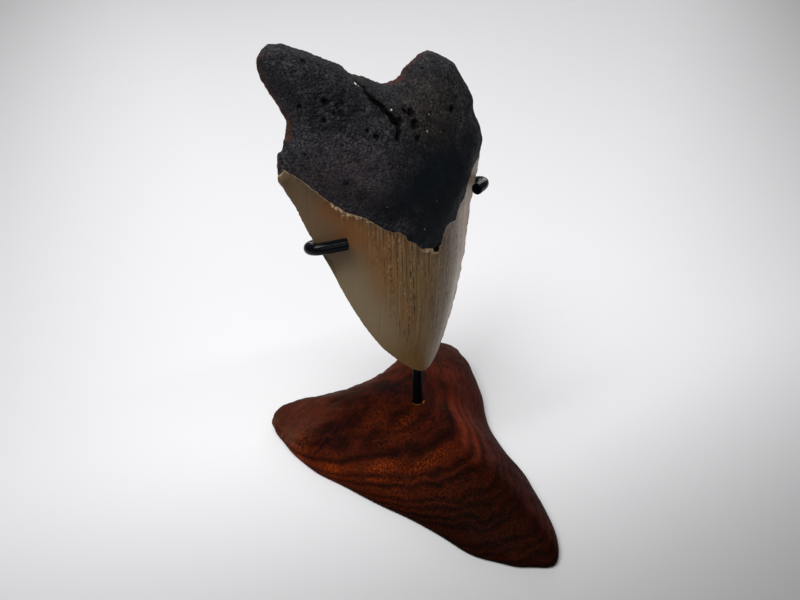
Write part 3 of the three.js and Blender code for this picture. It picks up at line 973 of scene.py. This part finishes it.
        # The rear slopes are lightened: partly wear, partly painted sheen.
        colour = shader.blend(colour, self.worn, shader.attribute("brim") * smear.rise(0.42, 0.56) * 0.3)
        colour = shader.blend(colour, (0.003, 0.0012, 0.001), (1.0 - line) * 0.75)
        cut = shader.attribute("cut").rise(0.3, 0.9) * shader.noise(spot, 3.2, 3.0, 0.6).rise(0.5, 0.64)
        colour = shader.blend(colour, self.fresh, cut * 0.16)
        chip = shader.attribute("chip")
        colour = shader.blend(colour, self.fresh, chip.rise(0.3, 0.7) * 0.9)
        height = grain * 0.2 - pores * 0.3 + shader.noise(spot, 3.5, 3.0) * 0.4
        surface = shader.surface(
            Base_Color=colour,
            Roughness=0.4 + grain * 0.2 + pores * 0.1,
            Specular_IOR_Level=0.01,
            Normal=shader.bump(height, 0.22),
        )
        return shader.finish(surface)


@dataclass
class CarvedBase:
    """The wooden base, carved as a tooth that lies flat."""

    height: float = 20.0
    socket: float = 2.3
    levels: int = 3
    seed: int = 21
    warps: tuple[tuple[Point2, float, Point2], ...] = (
        ((-33, -24), 13, (-0.9, -0.35)), ((-18.5, -62), 11, (-1.8, -0.9)), ((-44, 6), 8, (-0.5, -0.2)),
        ((-1.5, -82), 4.5, (-0.2, -0.8)), ((35, -1), 12, (1.2, -0.65)), ((24.7, -36), 7, (-0.6, 0.3)),
        ((-50, 30), 6, (0.8, 0.0)), ((-11, -75.5), 6, (-0.6, -1.1)),
    )
    swells: tuple[tuple[Point2, float, float], ...] = (
        ((-43.5, 40), 4, 1.1), ((-22, 36), 6.5, -1.2), ((-13, 35), 4, -0.6), ((-5, 36), 6.5, -1.3),
    )
    crown: tuple[float, float] = (10.0, 1.3)

    def sculpt(self, piece: bpy.types.Object) -> None:
        """Adds the marks of hand carving, the chiselled rear edge and the chipped mouth of the socket."""
        grain = Grain(self.seed)
        places, normals = places_of(piece)
        x, y, z = places.T
        side = np.hypot(x, y)
        free = step(0.4, 2.5, z) * step(3.5, 7, side)
        hand = 0.3 * grain.smooth(places, 19) + 0.1 * grain.smooth(places, 7)
        behind = step(18, 30, y) * step(0.3, 0.9, 1 - normals[:, 2])
        chisel = np.abs(grain.smooth(places * (1, 1, 0.6), 6)) + 0.5 * grain.smooth(places, 2.6)
        crest = np.exp(-(((normals[:, 2] - 0.5) / 0.28) ** 2)) * step(15, 26, y) * step(4, 8, z)
        nicks = 0.6 + 1.1 * grain.smooth(places, 9) + 0.45 * grain.smooth(places, 3.1)
        moved = free * (hand - 0.8 * behind * chisel + 1.1 * crest * nicks)
        for centre, radius, push in self.swells:
            moved += free * push * np.exp(-(np.linalg.norm(places[:, :2] - centre, axis=1) / radius) ** 2)
        mouth = np.exp(-(((side - self.socket) / 0.8) ** 2)) * step(self.height - 2, self.height - 0.3, z)
        bite = step(0.15, 0.45, 0.8 * grain.smooth(places, 1.6) + 0.5 * step(1, -2.5, 0.7 * x + y)) * mouth
        shift = np.zeros((len(places), 2))
        for centre, radius, push in self.warps:
            shift += np.exp(-(np.linalg.norm(places[:, :2] - centre, axis=1) / radius) ** 2)[:, None] * push
        lift = self.crown[1] * np.exp(-((side / self.crown[0]) ** 2)) * step(12, 19, z)
        places = places + normals * moved[:, None]
        places[:, :2] += shift
        places[:, 2] += lift - 0.6 * bite
        set_places(piece, places)
        keep(piece, "chip", bite)
        keep(piece, "brim", np.exp(-(((normals[:, 2] - 0.65) / 0.3) ** 2)) * step(12, 24, y) * free)
        keep(piece, "cut", free * np.clip(behind + 0.7 * crest * step(0.8, 1.0, nicks), 0, 1))

    def build(self) -> None:
        """Makes the base from its solid, finer and carved."""
        piece = copy_of("base", "carved_base")
        edges = np.array([edge.vertices[:] for edge in piece.data.edges])
        places = places_of(piece)[0][edges]
        sides = np.hypot(places[:, :, 0], places[:, :, 1])
        floor = (places[:, :, 2] < 0.01).all(axis=1) & (sides > 10).all(axis=1)
        mouth = (np.abs(places[:, :, 2] - self.height) < 0.01).all(axis=1) & (sides < 3).all(axis=1)
        creases = piece.data.attributes.new("crease_edge", "FLOAT", "EDGE")
        creases.data.foreach_set("value", np.where(floor | mouth, 1.0, 0.0).astype(np.float32))
        refine(piece, self.levels)
        self.sculpt(piece)
        dress(piece, HardwoodFinish().material(), "hardwood", "base")


# The stand


@dataclass(frozen=True)
class BlackRodFinish:
    """Black lacquer on a steel rod."""

    lacquer: Colour = tone(5, 5, 7)
    dust: Colour = tone(18, 17, 19)

    def material(self) -> bpy.types.Material:
        """Makes the material."""
        shader = Shader("black_rod")
        spot = shader.position()
        smears = shader.noise(spot, 5, 3.0, 0.6)
        orange_peel = shader.noise(spot, 0.8, 2.0)
        surface = shader.surface(
            Base_Color=shader.blend(self.lacquer, self.dust, smears.rise(0.55, 0.8) * 0.4),
            Roughness=0.3 + smears * 0.2,
            Specular_IOR_Level=0.05,
            Normal=shader.bump(orange_peel, 0.03),
        )
        return shader.finish(surface)


@dataclass(frozen=True)
class SleeveFinish:
    """Glossy black soft plastic."""

    black: Colour = tone(6, 7, 12)
    scuff: Colour = tone(26, 26, 28)

    def material(self) -> bpy.types.Material:
        """Makes the material."""
        shader = Shader("black_sleeve")
        spot = shader.position()
        scuffs = shader.noise(spot, 1.8, 4.0, 0.65)
        ripple = shader.noise(spot, 2.6, 1.0)
        surface = shader.surface(
            Base_Color=shader.blend(self.black, self.scuff, scuffs.rise(0.58, 0.8) * 0.5),
            Roughness=0.075 + scuffs.rise(0.5, 0.8) * 0.14,
            Specular_IOR_Level=0.13,
            Normal=shader.bump(ripple, 0.05),
        )
        return shader.finish(surface)


@dataclass
class RodStand:
    """The post, the arm behind the tooth and the two sleeved hooks."""

    levels: int = 3
    post_radius: float = 1.85
    arm_radius: float = 1.25
    sleeve_radius: float = 1.95
    bore: float = 1.55
    joint: tuple[float, float, float] = (0.0, 12.42, 89.0)
    bead: tuple[float, float, float] = (2.5, 1.95, 1.15)
    lean: float = math.radians(16)
    seed: int = 5

    def rod(self, node: str, name: str, radius: float) -> bpy.types.Object:
        """Makes a smooth round rod from its faceted solid.

        Args:
            node: The solid's name.
            name: The piece's name.
            radius: The rod's radius, in millimetres.

        Returns:
            The rod.
        """
        piece = copy_of(node, name)
        self.refine_round(piece, radius)
        return piece

    def refine_round(self, piece: bpy.types.Object, radius: float, crease: float = 0.8) -> None:
        """Refines a six-sided rod with crisp ends, and swells it back to its radius."""
        creases = piece.data.attributes.new("crease_edge", "FLOAT", "EDGE")
        normals = np.array([face.normal[:] for face in piece.data.polygons])
        faces_of: dict[tuple[int, int], list[int]] = {}
        for face in piece.data.polygons:
            for key in face.edge_keys:
                faces_of.setdefault(key, []).append(face.index)
        sharp = []
        for edge in piece.data.edges:
            sides = faces_of[tuple(sorted(edge.vertices))]
            is_end = len(sides) == 2 and normals[sides[0]] @ normals[sides[1]] < 0.3
            sharp.append(crease if is_end else 0.0)
        creases.data.foreach_set("value", sharp)
        refine(piece, self.levels)
        places, outward = places_of(piece)
        set_places(piece, places + outward * radius / 6)

    def sleeve(self, node: str, name: str) -> bpy.types.Object:
        """Makes a sleeve with a closed, slightly domed finger end over its bore.

        Args:
            node: The solid's name.
            name: The piece's name.

        Returns:
            The sleeve.
        """
        piece = copy_of(node, name)
        arm = places_of(self.arm)[0]
        places = places_of(piece)[0]
        inner = np.array([np.linalg.norm(arm - place, axis=1).min() for place in places])
        inner = inner < 0.5 * (self.sleeve_radius - self.arm_radius + self.bore - self.arm_radius)
        middle = places[:, 1].mean()
        with editing(piece):
            bpy.ops.mesh.select_all(action="DESELECT")
            bpy.ops.object.mode_set(mode="OBJECT")
            ends = [f for f in piece.data.polygons if 0 < inner[list(f.vertices)].sum() < len(f.vertices)]
            tips = [f for f in ends if f.center[1] / MM < middle]
            for face in tips:
                face.select = True
            bpy.ops.object.mode_set(mode="EDIT")
            bpy.ops.mesh.select_mode(type="FACE")
            bpy.ops.mesh.delete(type="ONLY_FACE")
            bpy.ops.mesh.select_mode(type="EDGE")
            bpy.ops.mesh.select_all(action="SELECT")
            bpy.ops.mesh.fill_holes(sides=8)
            bpy.ops.mesh.normals_make_consistent(inside=False)
        self.refine_round(piece, self.sleeve_radius, 0.45)
        return piece

    def weld(self) -> bpy.types.Object:
        """Makes the bead that joins the post's top to the arm."""
        bpy.ops.mesh.primitive_uv_sphere_add(segments=48, ring_count=24, radius=MM, location=(0, 0, 0))
        piece = bpy.context.object
        piece.name = "stand_weld"
        ball = places_of(piece)[0]
        swollen = ball * (1 + 0.12 * Grain(self.seed).smooth(ball, 0.8))[:, None] * self.bead
        cosine, sine = math.cos(self.lean), math.sin(self.lean)
        back = swollen[:, 1] * cosine + swollen[:, 2] * sine
        up = swollen[:, 2] * cosine - swollen[:, 1] * sine
        set_places(piece, np.stack([swollen[:, 0], back, up], axis=1) + self.joint)
        return piece

    def build(self) -> None:
        """Makes and dresses the rods and sleeves."""
        lacquer = BlackRodFinish().material()
        plastic = SleeveFinish().material()
        self.arm = copy_of("cross_arm", "stand_arm")
        left = self.sleeve("left_sleeve", "hook_sleeve_left")
        right = self.sleeve("right_sleeve", "hook_sleeve_right")
        self.refine_round(self.arm, self.arm_radius)
        dress(self.rod("post", "stand_post", self.post_radius), lacquer, "black_rod", "post")
        dress(self.arm, lacquer, "black_rod", "cross_arm")
        dress(self.weld(), lacquer, "black_rod")
        dress(left, plastic, "black_sleeve", "left_sleeve")
        dress(right, plastic, "black_sleeve", "right_sleeve")


# The studio


@dataclass(frozen=True)
class Lamp:
    """A flat soft light, with sizes in metres; square unless it has a depth of its own."""

    name: str
    at: tuple[float, float, float]
    towards: tuple[float, float, float]
    size: float
    power: float
    depth: float = 0.0


@dataclass
class Studio:
    """The camera, the pale floor and the soft lights."""

    eye: tuple[float, float, float] = (-0.1703, -0.2307, 0.2560)
    gaze: tuple[float, float, float] = (0.4811, 0.6870, -0.5446)
    lens: float = 40.5
    floor_size: float = 8.0
    pool_centre: Point2 = (-15.9, 49.2)
    pool_turn: float = -0.287
    pool_reach: tuple[float, float, float, float] = (345.0, 1392.0, 194.0, 2275.0)
    pool_fall: float = 0.636
    dusk_from: float = 46.0
    dusk_reach: float = 268.0
    dusk_turn: float = -0.899
    dusk_fall: float = 0.45
    ambient: float = 0.16
    lamps: tuple[Lamp, ...] = (
        Lamp("key", (-0.6, -0.05, 1.3), (0, 0.1, 0.05), 0.85, 17.0),
        Lamp("fill", (-0.3, -1.2, 0.9), (0, 0, 0.05), 1.0, 2.0),
        Lamp("strip", (0.085, -0.449, 1.313), (0.147, 0.0, 0.1), 0.6, 1.4, 0.05),
        Lamp("sheen", (0.9, 0.7, 0.5), (0, 0, 0.08), 0.6, 2.0),
        Lamp("far", (0.5, 1.4, 1.1), (0.3, 0.7, 0), 1.0, 3.0),
    )

    def place_camera(self) -> None:
        """Adds the camera."""
        bpy.ops.object.camera_add(location=self.eye, rotation=Vector(self.gaze).to_track_quat("-Z", "Y").to_euler())
        camera = bpy.context.object
        camera.data.lens = self.lens
        camera.data.clip_start = 0.01
        bpy.context.scene.camera = camera

    def lay_floor(self) -> None:
        """Adds the floor, its colour carrying a painted pool of light and painted shade towards the front right."""
        bpy.ops.mesh.primitive_plane_add(size=self.floor_size, location=(0, 0, 0))
        floor = bpy.context.object
        floor.name = "floor"
        shader = Shader("paper")
        x, y, _ = shader.parts(shader.position())
        x, y = x - self.pool_centre[0], y - self.pool_centre[1]
        cosine, sine = math.cos(self.pool_turn), math.sin(self.pool_turn)
        aside, ahead = x * cosine + y * sine, y * cosine - x * sine
        away = 0.0
        for distance, (less, more) in ((aside, self.pool_reach[:2]), (ahead, self.pool_reach[2:])):
            under = distance.math("MINIMUM", distance, 0.0) / less
            over = distance.math("MAXIMUM", distance, 0.0) / more
            away = away + under * under + over * over
        # Painted light: the floor is brightest in a pool centred just behind the base and darkens away from it.
        fall = (away ** 0.5).rise(0.0, 1.0) * self.pool_fall
        x, y, _ = shader.parts(shader.position())
        towards = x * math.cos(self.dusk_turn) + y * math.sin(self.dusk_turn)
        # Painted shade: the floor darkens towards the front right.
        dusk = towards.rise(self.dusk_from, self.dusk_from + self.dusk_reach) * self.dusk_fall
        mottle = shader.noise(shader.position(), 40, 2.0) * 0.01
        left = (1.0 - fall) * (1.0 - dusk) - mottle
        colour = shader.blend((0.0, 0.0, 0.0), tone(248, 248, 250), left)
        surface = shader.surface(Base_Color=colour, Roughness=0.8, Specular_IOR_Level=0.1)
        floor.data.materials.append(shader.finish(surface))

    def light(self) -> None:
        """Adds the lights and the soft surroundings."""
        for lamp in self.lamps:
            towards = Vector(lamp.towards) - Vector(lamp.at)
            turn = towards.to_track_quat("-Z", "Y").to_euler()
            bpy.ops.object.light_add(type="AREA", location=lamp.at, rotation=turn)
            light = bpy.context.object
            light.name = lamp.name
            light.data.shape = "RECTANGLE"
            light.data.size = lamp.size
            light.data.size_y = lamp.depth or lamp.size
            light.data.energy = lamp.power
        world = bpy.data.worlds.new("studio")
        world.use_nodes = True
        world.node_tree.nodes["Background"].inputs["Color"].default_value = (1.0, 1.0, 1.0, 1.0)
        world.node_tree.nodes["Background"].inputs["Strength"].default_value = self.ambient
        bpy.context.scene.world = world
        bpy.context.scene.view_settings.view_transform = "Standard"

    def build(self) -> None:
        """Sets up everything but the object."""
        self.place_camera()
        self.lay_floor()
        self.light()


def main() -> None:
    """Builds the studio, the tooth, the base and the stand."""
    logging.basicConfig(level=logging.INFO, format="%(name)s: %(message)s")
    Studio().build()
    FossilTooth().build()
    CarvedBase().build()
    RodStand().build()


if __name__ == "__main__":
    main()
